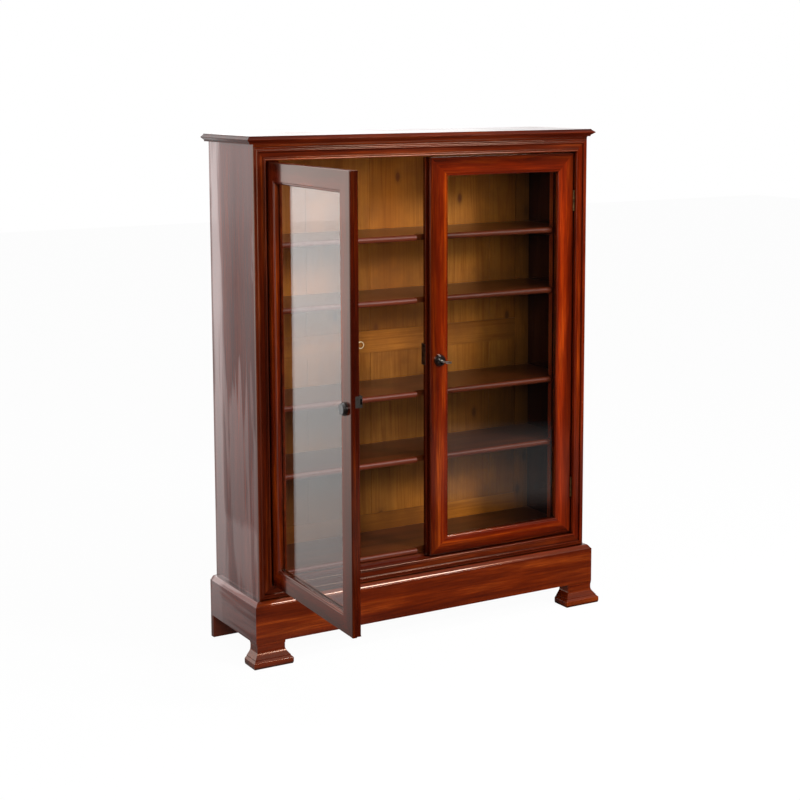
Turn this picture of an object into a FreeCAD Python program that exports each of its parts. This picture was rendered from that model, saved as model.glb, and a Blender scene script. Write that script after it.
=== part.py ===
import FreeCAD, Part
import math
import os

# Glazed mahogany bookcase on a plinth with four low feet.
# Two framed glass doors, four shelves and a boarded pine back.
# Millimetres. +X is to the right, +Y is to the back and +Z is up. While the pieces
# are drawn, the front corners of the case lie on Y = 0; the finished model is then
# moved so that the middle of its footprint on the floor is the origin.

# ---- case ----
CASE_W = 1150.0          # over the two side panels
CASE_D = 304.0           # front corner to the back of the side panels
SIDE_T = 20.0            # side panel thickness
CASE_TOP = 1501.5        # underside of the top board
PLINTH_Z = 67.7          # underside of the plinth, the height of the feet

# ---- top board ----
TOP_T = 22.5
TOP_FILLET_H = 3.5       # upright fillet under the nose
TOP_NOSE_Z = 12.5        # height of the nose above the underside
TOP_NOSE_OUT = 12.3      # the nose beyond the fillet
TOP_EDGE_IN = 1.5        # the upper arris beyond the fillet
TOP_SIDE_OVER = 11.5     # fillet beyond the side panels
TOP_FRONT_OVER = 4.0     # fillet beyond the front corners
TOP_BACK_OVER = 6.6

# ---- doorway and the moulded frame planted round it ----
FRAME_W = 40.0           # planted frame, from the doorway to the corners
FRAME_BACK = 8.0         # the planted frame lies from here forwards
JAMB_D = 32.0            # jambs and rails behind the frame, front to back
STOP_T = 18.0            # door stop behind the jamb, front to back
STOP_GAP = 1.0           # between the stops and the shelves notched round them
BED_H = 7.0              # bed moulding under the top board
BED_OUT = 3.0            # bed moulding, forward of the corners

# ---- plinth ----
PLINTH_T = 22.0
PLINTH_H = 110.3         # its outer face
PLINTH_RISE = 11.5       # moulded upper edge
PLINTH_FRONT = 21.0      # proud of the front corners
PLINTH_BACK_IN = 2.0     # short of the case's back
PLINTH_BACK_T = 20.0
BLOCK_SIDE = 40.0        # glue blocks in the corners
BLOCK_H = 85.0

# ---- feet ----
FOOT_IN = 3.0            # neck of a front foot, in from the plinth's side face
FOOT_W = 88.0            # neck of a front foot, across the front
FOOT_D = 48.0            # neck of a front foot, front to back
FOOT_FLARE = 19.0        # widest part of the foot, beyond the neck
FOOT_BEAD = 1.2          # bead at the top of the neck
BACK_FOOT_W = 110.0      # rear feet, plain boards
BACK_FOOT_T = 18.0
BACK_FOOT_R = 12.0       # rounding of their inner lower corner

# ---- back ----
BACK_T = 18.0
BACK_STILE_W = 52.0
BACK_TOP_RAIL_W = 62.0
BACK_MID_Z0 = 828.6
BACK_MID_W = 70.0
BACK_LOW_TOP = 308.0     # upper edge of the lowest rail
PANEL_T = 9.0
GROOVE_D = 8.0
GROOVE_GAP = 1.0         # room for the boards to move in their grooves
BOARD_W = 223.5
BOARD_JOINT_X = -43.0    # one joint between boards; the others follow from it
BOARD_V = 1.5            # bevel on each edge of a board

# ---- floor board and shelves ----
BOARD_T = 18.0           # shelves and floor board
FLOOR_TOP = 252.0
SHELF_TOPS = (538.0, 741.0, 1028.0, 1218.0)
SHELF_FRONT = 42.0       # front edge behind the front corners
SHELF_END_GAP = 1.5
SHELF_BACK_GAP = 1.0
NOTCH_W = 40.0           # clears what is fixed on the back of the meeting stiles
NOTCH_D = 20.0
BATTEN_W = 12.0
BATTEN_H = 20.0
BATTEN_FRONT = 62.0
BATTEN_BACK_IN = 18.0    # battens end short of the back

# ---- doors ----
DOOR_SET = 10.0          # door faces behind the front corners
DOOR_T = 28.0
DOOR_GAP = 3.0           # between the hinge stile and the jamb
DOOR_TOP_GAP = 3.0
DOOR_LOW_GAP = 2.5
STILE_SIGHT = 59.0       # jamb side sight edge from the doorway's side
MEET_X = 3.5             # edge of the left door's front lip
LIP_T = 13.0             # thickness of the left door's front lip
LIP_W = 5.5              # how far that lip reaches past its shoulder
MEET_GAP = 1.5           # behind the front lip
FACE_GAP = 4.0           # quirk between the two doors, seen from the front
LIP_GAP = 1.0
LEFT_SIGHT = 60.0        # inner sight edges from the middle
RIGHT_SIGHT = 72.0
TOP_RAIL = 59.0
LOW_RAIL = 54.5
SIGHT_W = 8.0            # moulding worked on the sight edges, and the glazing rebate
SIGHT_DROP = 5.0         # depth of that moulding
GLASS_T = 3.0
GLASS_SET = 14.0         # glass behind the door's face
GLASS_GAP = 1.0
BEAD_T = 8.0
EDGE_R = 4.0             # rounding of the meeting edges
FACE_R = 5.0             # rounding of the right door's front edge
RAIL_R = 1.5             # rounding of the upper and lower edges
REST_OPEN = 92.5         # the left door stands open by this angle

# ---- hinges ----
PIVOT_SET = 9.0          # pivot line behind the front corners, in the gap beside the door
KNUCKLE_R = 3.2
PIN_R = 1.6
PIN_GAP = 0.05
LEAF_T = 1.5
LEAF_D = 25.0            # leaf, from the pivot line backwards
HINGE_H = 64.0
HINGE_IN = 150.0         # from the ends of the door to the hinge's middle
KNUCKLE_GAP = 0.2
HINGE_ROOM = 0.5         # between the knuckle and the wood

# ---- lock, keep and key ----
LOCK_Z = 855.5           # middle of the lock
LOCK_H = 65.0
LOCK_W = 61.0
LOCK_D = 10.0            # lock case behind the stile
LOCK_WALL = 1.2
SELVEDGE_T = 1.5         # plate let into the door's edge
BOLT_H = 13.4
BOLT_T = 4.4
BOLT_L = 56.0
BOLT_HEAD = 18.0         # the part that passes through the edge plate
TALON_W = 16.0           # notch that the key's bit works in
TALON_D = 4.0
BOLT_GAP = 0.3
BOLT_THROW = 7.0
BOLT_UP = 1.5            # middle of the bolt above the lock's middle
KEY_X = 40.0             # from the middle of the doorway
KEY_DOWN = 18.5          # key below the middle of the lock
KEY_R = 2.6
KEY_PIN_R = 1.2
KEY_BORE_GAP = 0.08
KEYHOLE_R = 3.6
KEYHOLE_SLOT = 3.4
BIT_R = 12.0
BIT_W = 6.0
BIT_T = 2.4
WARD_D = 3.0             # ward cut in the bit
KEY_PIN_L = 14.0         # pin of the lock that the key turns on
COLLAR_R = 4.2
COLLAR_W = 2.4
KEY_OUT = 20.0           # shank outside the boss, up to the bow
BOW_L = 30.0
BOW_W = 22.0
BOW_T = 3.0
KEEP_H = 31.0
KEEP_W = 24.0
KEEP_D = 7.5

# ---- bosses and screw eye ----
BOSS_R = 18.0
BOSS_OUT = 13.0
BOSS_FACE_R = 14.5       # flat face at the end of a boss
KNOB_X = -31.0           # knob of the left door, when it is closed
EYE_R = 8.5
EYE_WIRE = 1.2
EYE_OUT = 10.5           # middle of the ring behind the door
EYE_IN = 20.0            # from the door's edge
EYE_Z = 1002.6

# ---- derived places ----
HALF = CASE_W / 2
OPEN_HALF = HALF - FRAME_W
PLINTH_OUT_Z = PLINTH_Z + PLINTH_H
PLINTH_IN_Z = PLINTH_OUT_Z + PLINTH_RISE
SUB_TOP_Z = CASE_TOP - BOARD_T
OPEN_Z0 = PLINTH_IN_Z + FRAME_W
OPEN_Z1 = CASE_TOP - BED_H - FRAME_W
BATTEN_BACK = CASE_D - BACK_T - BATTEN_BACK_IN
JAMB_BACK = FRAME_BACK + JAMB_D
STOP_BACK = JAMB_BACK + STOP_T
STOP_X = OPEN_HALF - STILE_SIGHT
BACK_Y = CASE_D - BACK_T
INNER = HALF - SIDE_T
PLINTH_X = HALF + PLINTH_T
PLINTH_END = CASE_D - PLINTH_BACK_IN
DOOR_BACK = DOOR_SET + DOOR_T
DOOR_Z0 = OPEN_Z0 + DOOR_LOW_GAP
DOOR_Z1 = OPEN_Z1 - DOOR_TOP_GAP
SIGHT_Z0 = DOOR_Z0 + LOW_RAIL
SIGHT_Z1 = DOOR_Z1 - TOP_RAIL
PIVOT_X = OPEN_HALF - DOOR_GAP / 2
LEFT_SHOULDER = MEET_X - LIP_W
RIGHT_FRONT = MEET_X + FACE_GAP
RIGHT_LIP = LEFT_SHOULDER + MEET_GAP
KEY_Z = LOCK_Z - KEY_DOWN
BOLT_Z = LOCK_Z + BOLT_UP
BOLT_Y = DOOR_BACK + LOCK_WALL + BOLT_GAP + BOLT_T / 2

V = FreeCAD.Vector


def outline(points):
    """Closed 2-D outline of lines, with each corner rounded by its own radius."""
    edges = []
    ends = []
    count = len(points)
    for i in range(count):
        x, y, r = points[i]
        px, py, _ = points[i - 1]
        nx, ny, _ = points[(i + 1) % count]
        here = V(x, y, 0)
        if r <= 0:
            ends.append((here, here, here))
            continue
        to_prev = V(px - x, py - y, 0).normalize()
        to_next = V(nx - x, ny - y, 0).normalize()
        half = to_prev.getAngle(to_next) / 2
        reach = r / math.tan(half)
        middle = (to_prev + to_next).normalize()
        centre = here + middle * (r / math.sin(half))
        ends.append((here + to_prev * reach, centre - middle * r, here + to_next * reach))
    for i in range(count):
        start, bend, end = ends[i]
        if (end - start).Length > 1e-6:
            edges.append(Part.Arc(start, bend, end).toShape())
        after = ends[(i + 1) % count][0]
        if (after - end).Length > 1e-6:
            edges.append(Part.LineSegment(end, after).toShape())
    return Part.Face(Part.Wire(edges))


def along_x(points, x0, x1):
    """Solid with the section (Y, Z) between two values of X."""
    face = outline(points)
    face.rotate(V(), V(1, 1, 1), 120)
    face.translate(V(x0, 0, 0))
    return face.extrude(V(x1 - x0, 0, 0))


def along_y(points, y0, y1):
    """Solid with the section (X, Z) between two values of Y."""
    face = outline(points)
    face.rotate(V(), V(1, 0, 0), 90)
    face.translate(V(0, y0, 0))
    return face.extrude(V(0, y1 - y0, 0))


def along_z(points, z0, z1):
    """Solid with the section (X, Y) between two values of Z."""
    face = outline(points)
    face.translate(V(0, 0, z0))
    return face.extrude(V(0, 0, z1 - z0))


def sharp(points):
    return [(a, b, 0) for a, b in points]


def box(x0, x1, y0, y1, z0, z1):
    return Part.makeBox(x1 - x0, y1 - y0, z1 - z0, V(x0, y0, z0))


def turned(points, x, y):
    """Solid turned about an upright axis from half its outline (radius, Z)."""
    half = outline(points)
    half.rotate(V(), V(1, 0, 0), 90)
    solid = half.revolve(V(), V(0, 0, 1), 360)
    solid.translate(V(x, y, 0))
    return solid


def rod(radius, start, direction, length):
    return Part.makeCylinder(radius, length, start, direction)


def mirrored(shape):
    """The same piece on the other side of the case."""
    return shape.mirror(V(), V(1, 0, 0))


def group(shapes):
    """Several separate solids that share one node."""
    return Part.makeCompound(shapes)


# ------------------------------------------------------------------ case

def side_panel():
    """Left side, grooved for nothing: plain board from the top board to the feet."""
    return box(-HALF, -INNER, FRAME_BACK, CASE_D, PLINTH_Z, CASE_TOP)


def top_edge(out):
    """Right-hand edge of the top board: fillet, lower hollow, nose, upper slope."""
    z = CASE_TOP
    return [
        (out, z, 0),
        (out, z + TOP_FILLET_H, 0),
        (out + 0.45 * TOP_NOSE_OUT, z + 0.62 * TOP_NOSE_Z, 6.0),
        (out + TOP_NOSE_OUT, z + TOP_NOSE_Z, 1.4),
        (out + 0.4 * TOP_NOSE_OUT, z + 0.8 * TOP_T, 6.0),
        (out + TOP_EDGE_IN, z + TOP_T - 1.5, 0),
        (out + TOP_EDGE_IN, z + TOP_T, 0),
    ]


def top_board():
    """The moulding returns on both sides, so it is the meeting of two extrusions."""
    out = HALF + TOP_SIDE_OVER
    right = top_edge(out)
    left = [(-x, z, r) for x, z, r in reversed(right)]
    across = along_y(right + left, -60, CASE_D + TOP_BACK_OVER)
    front = [(-x, z, r) for x, z, r in reversed(top_edge(TOP_FRONT_OVER))]
    rear = CASE_D + TOP_BACK_OVER
    rear_edge = sharp([(rear, CASE_TOP), (rear, CASE_TOP + TOP_T)])
    deep = along_x(front + rear_edge, -HALF - 60, HALF + 60)
    return across.common(deep)


def sub_top():
    return box(-INNER, INNER, JAMB_BACK, BACK_Y, SUB_TOP_Z, CASE_TOP)


def jamb():
    """Left jamb with the hinges let into its edge. The door shuts against the wide
    stop behind it, which stands on the floor board and covers the ends of the shelves."""
    piece = box(-INNER, -OPEN_HALF, FRAME_BACK, JAMB_BACK, PLINTH_IN_Z, CASE_TOP)
    stop = box(-INNER, -STOP_X, JAMB_BACK, STOP_BACK, FLOOR_TOP, SUB_TOP_Z)
    piece = piece.fuse(stop).removeSplitter()
    for z in hinge_heights():
        piece = piece.cut(case_leaf_room(z))
    return piece


def head_rail():
    return box(-OPEN_HALF, OPEN_HALF, FRAME_BACK, JAMB_BACK, OPEN_Z1, CASE_TOP)


def sill_rail():
    return box(-OPEN_HALF, OPEN_HALF, FRAME_BACK, JAMB_BACK, PLINTH_IN_Z, OPEN_Z0)


def frame_section():
    """Planted frame: distance from the doorway, then Y. Two small beads beside the
    doorway, a sunk flat, a raised ridge and an ogee down to the corner."""
    w = FRAME_W
    return [
        (0, FRAME_BACK, 0),
        (0, -4.0, 3.0),
        (6.4, -4.0, 3.0),
        (6.4, -1.2, 0),
        (9.6, -2.4, 1.0),
        (10.4, 0.8, 0),
        (w - 15.4, 0.8, 0),
        (w - 14.4, -5.0, 1.3),
        (w - 10.6, -5.0, 1.6),
        (w - 8.0, -2.0, 3.0),
        (w - 2.0, -2.4, 2.0),
        (w, 0.0, 0),
        (w, FRAME_BACK, 0),
    ]


def frame_members():
    """Four lengths of the same moulding, mitred at 45 degrees."""
    o = OPEN_HALF
    e = HALF
    z0 = OPEN_Z0
    z1 = OPEN_Z1
    low = PLINTH_IN_Z
    high = OPEN_Z1 + FRAME_W
    section = frame_section()
    left = along_z([(-o - w, y, r) for w, y, r in section], low, high)
    left = left.common(along_y(sharp([(-e, low), (-o, z0), (-o, z1), (-e, high)]), -20, 20))
    for z in hinge_heights():
        left = left.cut(case_leaf_room(z))
    top = along_x([(y, z1 + w, r) for w, y, r in section], -e, e)
    top = top.common(along_y(sharp([(-e, high), (-o, z1), (o, z1), (e, high)]), -20, 20))
    base = along_x([(y, z0 - w, r) for w, y, r in section], -e, e)
    base = base.common(along_y(sharp([(-e, low), (-o, z0), (o, z0), (e, low)]), -20, 20))
    return left, mirrored(left), top, base


def bed_moulding():
    """Small hollow moulding between the planted frame and the top board."""
    z0 = OPEN_Z1 + FRAME_W
    section = [
        (FRAME_BACK, z0, 0),
        (0.0, z0, 0),
        (-0.4, z0 + 0.55 * (CASE_TOP - z0), 1.5),
        (-BED_OUT, CASE_TOP - 0.15 * (CASE_TOP - z0), 0),
        (-BED_OUT, CASE_TOP, 0),
        (FRAME_BACK, CASE_TOP, 0),
    ]
    return along_x(section, -HALF, HALF)


# ---------------------------------------------------------------- plinth

def plinth_edge():
    """Outer face and moulded upper edge: distance inwards, then Z."""
    rise = PLINTH_IN_Z - PLINTH_OUT_Z
    return [
        (0, PLINTH_Z, 0),
        (0, PLINTH_OUT_Z - 1.0, 1.2),
        (3.2, PLINTH_OUT_Z + 0.12 * rise, 1.0),
        (4.4, PLINTH_OUT_Z + 0.30 * rise, 0),
        (10.0, PLINTH_OUT_Z + 0.92 * rise, 6.0),
        (PLINTH_T, PLINTH_IN_Z, 0),
        (PLINTH_T, PLINTH_Z, 0),
    ]


def plinth_front():
    """Mitred to the side boards; thickened behind to reach the side panels."""
    section = [(-PLINTH_FRONT + d, z, r) for d, z, r in plinth_edge()]
    board = along_x(section, -PLINTH_X, PLINTH_X)
    seat = -PLINTH_FRONT + PLINTH_T
    plan = sharp([(-PLINTH_X, -PLINTH_FRONT), (PLINTH_X, -PLINTH_FRONT),
                  (HALF, seat), (-HALF, seat)])
    board = board.common(along_z(plan, 0, CASE_TOP))
    return board.fuse(box(-HALF, HALF, seat, FRAME_BACK, PLINTH_Z, PLINTH_IN_Z)).removeSplitter()


def plinth_side():
    section = [(-PLINTH_X + d, z, r) for d, z, r in plinth_edge()]
    board = along_y(section, -PLINTH_FRONT, PLINTH_END)
    seat = -PLINTH_FRONT + PLINTH_T
    plan = sharp([(-PLINTH_X, -PLINTH_FRONT), (-HALF, seat),
                  (-HALF, PLINTH_END), (-PLINTH_X, PLINTH_END)])
    return board.common(along_z(plan, 0, CASE_TOP))


def plinth_back():
    return box(-INNER, INNER, PLINTH_END - PLINTH_BACK_T, PLINTH_END, PLINTH_Z, PLINTH_OUT_Z)


def glue_blocks():
    """One block in each corner, behind the plinth and over a foot."""
    x0 = -INNER
    front = box(x0, x0 + BLOCK_SIDE, FRAME_BACK, FRAME_BACK + BLOCK_SIDE,
                PLINTH_Z, PLINTH_Z + BLOCK_H)
    y1 = PLINTH_END - PLINTH_BACK_T
    rear = box(x0, x0 + BLOCK_SIDE, y1 - BLOCK_SIDE, y1, PLINTH_Z, PLINTH_Z + BLOCK_H)
    return group([front, rear, mirrored(front), mirrored(rear)])


def foot_profile():
    """Half outline of a front foot: distance beyond the neck, then Z. Small bead at the
    top, a hollow that sweeps out to a fillet, and a rounded base."""
    h = PLINTH_Z
    f = FOOT_FLARE
    return [
        (FOOT_BEAD, h, 0),
        (FOOT_BEAD, 0.93 * h, 1.0),
        (0, 0.89 * h, 2.0),
        (0, 0.62 * h, 20.0),
        (0.60 * f, 0.40 * h, 0),
        (0.66 * f, 0.39 * h, 0),
        (0.66 * f, 0.35 * h, 0),
        (0.74 * f, 0.335 * h, 0),
        (f, 0.26 * h, 4.5),
        (f, 0.08 * h, 4.0),
        (0.90 * f, 0, 0),
    ]


def front_foot():
    """Swept foot: the outline runs across the front and returns on both sides, and the
    back of the foot is flat."""
    x0 = -PLINTH_X + FOOT_IN
    x1 = x0 + FOOT_W
    y0 = -PLINTH_FRONT
    y1 = y0 + FOOT_D
    half = foot_profile()
    wide = [(x0 - d, z, r) for d, z, r in half]
    wide = wide + [(x1 + d, z, r) for d, z, r in reversed(half)]
    deep = [(y0 - d, z, r) for d, z, r in half]
    deep = deep + [(y1, 0, 0), (y1, PLINTH_Z, 0)]
    reach = FOOT_W + FOOT_D
    return along_y(wide, y0 - reach, y1 + reach).common(along_x(deep, x0 - reach, x1 + reach))


def back_foot():
    """Plain board in line with the back board of the plinth."""
    x0 = -PLINTH_X
    x1 = x0 + BACK_FOOT_W
    face = [(x0, 0, 0), (x1, 0, BACK_FOOT_R), (x1, PLINTH_Z, 0), (x0, PLINTH_Z, 0)]
    return along_y(face, PLINTH_END - BACK_FOOT_T, PLINTH_END)


# ------------------------------------------------------------------ back

def back_rail(z0, z1, groove_low, groove_high):
    """Rail between the back stiles, grooved on the edges that hold boards."""
    x = INNER - BACK_STILE_W
    piece = box(-x, x, BACK_Y, CASE_D, z0, z1)
    y0 = BACK_Y + (BACK_T - PANEL_T) / 2
    if groove_low:
        piece = piece.cut(box(-x, x, y0, y0 + PANEL_T, z0, z0 + GROOVE_D))
    if groove_high:
        piece = piece.cut(box(-x, x, y0, y0 + PANEL_T, z1 - GROOVE_D, z1))
    return piece


def back_stile():
    x1 = -INNER + BACK_STILE_W
    piece = box(-INNER, x1, BACK_Y, CASE_D, PLINTH_OUT_Z, CASE_TOP)
    y0 = BACK_Y + (BACK_T - PANEL_T) / 2
    for z0, z1 in panel_heights():
        piece = piece.cut(box(x1 - GROOVE_D, x1, y0, y0 + PANEL_T, z0 - GROOVE_D, z1 + GROOVE_D))
    return piece


def panel_heights():
    low = (BACK_LOW_TOP, BACK_MID_Z0)
    high = (BACK_MID_Z0 + BACK_MID_W, CASE_TOP - BACK_TOP_RAIL_W)
    return low, high


def back_boards(z0, z1):
    """Upright boards with bevelled edges, loose in the grooves."""
    reach = GROOVE_D - GROOVE_GAP
    edge = INNER - BACK_STILE_W + reach
    y0 = BACK_Y + (BACK_T - PANEL_T) / 2
    y1 = y0 + PANEL_T
    joints = [-edge]
    first = math.ceil((-edge - BOARD_JOINT_X) / BOARD_W)
    x = BOARD_JOINT_X + first * BOARD_W
    while x < edge:
        joints.append(x)
        x += BOARD_W
    joints.append(edge)
    boards = []
    for a, b in zip(joints, joints[1:]):
        left = BOARD_V if a > -edge else 0
        right = BOARD_V if b < edge else 0
        start = [(a, y0 + left), (a + left, y0)] if left else [(a, y0)]
        end = [(b - right, y0), (b, y0 + right)] if right else [(b, y0)]
        plan = start + end + [(b, y1), (a, y1)]
        boards.append(along_z(sharp(plan), z0 - reach, z1 + reach))
    return group(boards)


# --------------------------------------------------------------- shelves

def board(z_top, end_gap, back_gap):
    """Board with a rounded front edge and a notch at the middle of it."""
    y1 = BACK_Y - back_gap
    x1 = INNER - end_gap
    r = BOARD_T / 2
    z0 = z_top - BOARD_T
    section = [(SHELF_FRONT, z0, r - 0.5), (SHELF_FRONT, z_top, r - 0.5), (y1, z_top, 0), (y1, z0, 0)]
    piece = along_x(section, -x1, x1)
    h = NOTCH_W / 2
    return piece.cut(box(-h, h, SHELF_FRONT, SHELF_FRONT + NOTCH_D, z0, z_top))


def shelf(z_top):
    """Loose board, notched round the two door stops."""
    piece = board(z_top, SHELF_END_GAP, SHELF_BACK_GAP)
    corner = box(-INNER, -STOP_X + STOP_GAP, 0, STOP_BACK + STOP_GAP, z_top - BOARD_T, z_top)
    return piece.cut([corner, mirrored(corner)])


def shelf_battens():
    """Two bearers for each shelf, on the inner faces of the sides."""
    pieces = []
    for z in SHELF_TOPS:
        one = box(-INNER, -INNER + BATTEN_W, BATTEN_FRONT, BATTEN_BACK,
                  z - BOARD_T - BATTEN_H, z - BOARD_T)
        pieces += [one, mirrored(one)]
    return group(pieces)


def floor_bearers():
    z1 = FLOOR_TOP - BOARD_T
    side = box(-INNER, -INNER + BATTEN_W, BATTEN_FRONT, BATTEN_BACK, z1 - BATTEN_H, z1)
    front = box(-INNER, INNER, JAMB_BACK, BATTEN_FRONT, z1 - BATTEN_H, z1)
    return group([side, mirrored(side), front])


# ----------------------------------------------------------------- doors
# Both doors are drawn closed. A frame member is an extruded section, trimmed to the
# mitres that it meets its neighbours in.

def sight_profile(edge, inwards):
    """Inner edge of a frame member: face, ovolo, wall, glazing rebate (position, Y)."""
    s = inwards
    f = DOOR_SET
    return [
        (edge - s * SIGHT_W, f, 0),
        (edge - s * (SIGHT_W - 1.2), f + 1.2, 0),
        (edge - s * 1.0, f + 1.6, 3.6),
        (edge, f + SIGHT_DROP + 1.5, 0),
        (edge, f + GLASS_SET, 0),
        (edge - s * SIGHT_W, f + GLASS_SET, 0),
        (edge - s * SIGHT_W, DOOR_BACK, 0),
    ]


def stile(section, outer, sight, inwards):
    """Upright member, mitred from its outer edge to the sight edge; `inwards` is +1
    where the glass lies on its +X side."""
    far = sight - inwards * 200
    form = sharp([(far, DOOR_Z0), (outer, DOOR_Z0), (sight, SIGHT_Z0),
                  (sight, SIGHT_Z1), (outer, DOOR_Z1), (far, DOOR_Z1)])
    return along_z(section, DOOR_Z0, DOOR_Z1).common(along_y(form, 0, 60))


def rail(across, outer, sight, inwards):
    """Level member; `across` has its two outer ends and, between them, the two sight
    edges, and `inwards` is +1 where the glass is above it."""
    left, x0, x1, right = across
    section = [(outer, DOOR_SET, RAIL_R)] + sight_profile(sight, inwards) + [(outer, DOOR_BACK, 0)]
    section = [(y, z, r) for z, y, r in section]
    form = sharp([(left, outer), (x0, sight), (x1, sight), (right, outer)])
    return along_x(section, left, right).common(along_y(form, 0, 60))


def hinge_stile():
    """Left-hand hinge stile, with the hinge leaves let into its edge."""
    outer = -OPEN_HALF + DOOR_GAP
    sight = -OPEN_HALF + STILE_SIGHT
    section = [(outer, DOOR_SET, 1.5)] + sight_profile(sight, 1) + [(outer, DOOR_BACK, 0)]
    piece = stile(section, outer, sight, 1)
    for z in hinge_heights():
        piece = piece.cut(door_leaf_room(z))
    return piece


def left_meeting_stile():
    """Its front lip closes over the rear lip of the other door."""
    step = DOOR_SET + LIP_T
    section = sight_profile(-LEFT_SIGHT, -1) + [
        (LEFT_SHOULDER, DOOR_BACK, EDGE_R),
        (LEFT_SHOULDER, step, 1.0),
        (MEET_X, step, 1.5),
        (MEET_X, DOOR_SET, EDGE_R),
    ]
    piece = stile(section, LEFT_SHOULDER, -LEFT_SIGHT, -1)
    piece = piece.cut(keep_plate_room())
    return piece.cut(eye_hole())


def right_meeting_stile():
    """Rear lip, mortise for the lock's edge plate and a keyhole."""
    step = DOOR_SET + LIP_T + LIP_GAP
    section = sight_profile(RIGHT_SIGHT, 1) + [
        (RIGHT_LIP, DOOR_BACK, EDGE_R / 2),
        (RIGHT_LIP, step, EDGE_R / 2),
        (RIGHT_FRONT, step, 0),
        (RIGHT_FRONT, DOOR_SET, FACE_R),
    ]
    piece = stile(section, RIGHT_FRONT, RIGHT_SIGHT, 1)
    piece = piece.cut(selvedge_room())
    return piece.cut(keyhole(DOOR_SET - 1, DOOR_BACK + 1))


def glass_pane(x0, x1):
    y0 = DOOR_SET + GLASS_SET
    reach = SIGHT_W - GLASS_GAP
    return box(x0 - reach, x1 + reach, y0, y0 + GLASS_T, SIGHT_Z0 - reach, SIGHT_Z1 + reach)


def glazing_beads(x0, x1):
    """Four mitred strips that hold the glass in its rebate from behind."""
    y0 = DOOR_SET + GLASS_SET + GLASS_T
    y1 = y0 + BEAD_T
    w = SIGHT_W
    cut = [(0, y0, 0), (0, y1, 0), (w - 1, y1, 4.0), (w - 1, y0, 0)]
    z0 = SIGHT_Z0
    z1 = SIGHT_Z1
    low = along_x([(y, z0 - w + d, r) for d, y, r in cut], x0 - w, x1 + w)
    low = low.common(along_y(sharp([(x0 - w, z0 - w), (x0, z0), (x1, z0), (x1 + w, z0 - w)]), 0, 60))
    high = along_x([(y, z1 + w - d, r) for d, y, r in cut], x0 - w, x1 + w)
    high = high.common(along_y(sharp([(x0 - w, z1 + w), (x0, z1), (x1, z1), (x1 + w, z1 + w)]), 0, 60))
    left = along_z([(x0 - w + d, y, r) for d, y, r in cut], z0 - w, z1 + w)
    left = left.common(along_y(sharp([(x0 - w, z0 - w), (x0, z0), (x0, z1), (x0 - w, z1 + w)]), 0, 60))
    right = along_z([(x1 + w - d, y, r) for d, y, r in cut], z0 - w, z1 + w)
    right = right.common(along_y(sharp([(x1 + w, z0 - w), (x1, z0), (x1, z1), (x1 + w, z1 + w)]), 0, 60))
    return group([low, high, left, right])


# ---------------------------------------------------------------- hinges

def hinge_heights():
    return (DOOR_Z0 + HINGE_IN, DOOR_Z1 - HINGE_IN)


def case_leaf_room(z):
    """Recess for the fixed leaf and the knuckle, in the jamb and in the frame."""
    z0 = z - HINGE_H / 2
    leaf = box(-OPEN_HALF - LEAF_T, -OPEN_HALF, PIVOT_SET, PIVOT_SET + LEAF_D, z0, z0 + HINGE_H)
    reach = KNUCKLE_R + HINGE_ROOM
    barrel = box(-PIVOT_X - reach, -OPEN_HALF, PIVOT_SET - reach, PIVOT_SET + reach,
                 z0 - HINGE_ROOM, z0 + HINGE_H + HINGE_ROOM)
    return leaf.fuse(barrel)


def door_leaf_room(z):
    """Recess for the moving leaf and the knuckle, in the edge of the door."""
    z0 = z - HINGE_H / 2
    x0 = -OPEN_HALF + DOOR_GAP
    leaf = box(x0, x0 + LEAF_T, PIVOT_SET, PIVOT_SET + LEAF_D, z0, z0 + HINGE_H)
    reach = KNUCKLE_R + HINGE_ROOM
    barrel = box(-PIVOT_X, -PIVOT_X + reach, PIVOT_SET - reach, PIVOT_SET + reach,
                 z0 - HINGE_ROOM, z0 + HINGE_H + HINGE_ROOM)
    return leaf.fuse(barrel)


def hinge_leaf(z, fixed):
    """One leaf with its half of the knuckle: the lower half is fixed."""
    z0 = z - HINGE_H / 2
    z1 = z0 + HINGE_H
    reach = KNUCKLE_R + KNUCKLE_GAP
    if fixed:
        x0 = -OPEN_HALF - LEAF_T
        a, b = z0, z - KNUCKLE_GAP / 2
    else:
        x0 = -OPEN_HALF + DOOR_GAP
        a, b = z + KNUCKLE_GAP / 2, z1
    plate = box(x0, x0 + LEAF_T, PIVOT_SET + reach, PIVOT_SET + LEAF_D, z0, z1)
    root = box(x0, x0 + LEAF_T, PIVOT_SET, PIVOT_SET + reach, a, b)
    barrel = rod(KNUCKLE_R, V(-PIVOT_X, PIVOT_SET, a), V(0, 0, 1), b - a)
    bore = rod(PIN_R + PIN_GAP, V(-PIVOT_X, PIVOT_SET, a - 1), V(0, 0, 1), b - a + 2)
    return plate.fuse([root, barrel]).cut(bore).removeSplitter()


def hinge_pin(z):
    return rod(PIN_R, V(-PIVOT_X, PIVOT_SET, z - HINGE_H / 2), V(0, 0, 1), HINGE_H)


def hinge_pair(part):
    """The same piece of the lower and the upper hinge on the left side."""
    return [part(z) for z in hinge_heights()]


# ------------------------------------------------------ lock, keep and key

def selvedge_room():
    return box(RIGHT_LIP - 5, RIGHT_LIP + SELVEDGE_T, DOOR_SET + LIP_T + 2 * LIP_GAP, DOOR_BACK + LOCK_D,
               LOCK_Z - LOCK_H / 2, LOCK_Z + LOCK_H / 2)


def keyhole(y0, y1):
    """Round hole for the shank with a slot below it for the bit."""
    hole = rod(KEYHOLE_R, V(KEY_X, y0, KEY_Z), V(0, 1, 0), y1 - y0)
    s = KEYHOLE_SLOT / 2
    return hole.fuse(box(KEY_X - s, KEY_X + s, y0, y1, KEY_Z - BIT_R - 1, KEY_Z))


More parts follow.
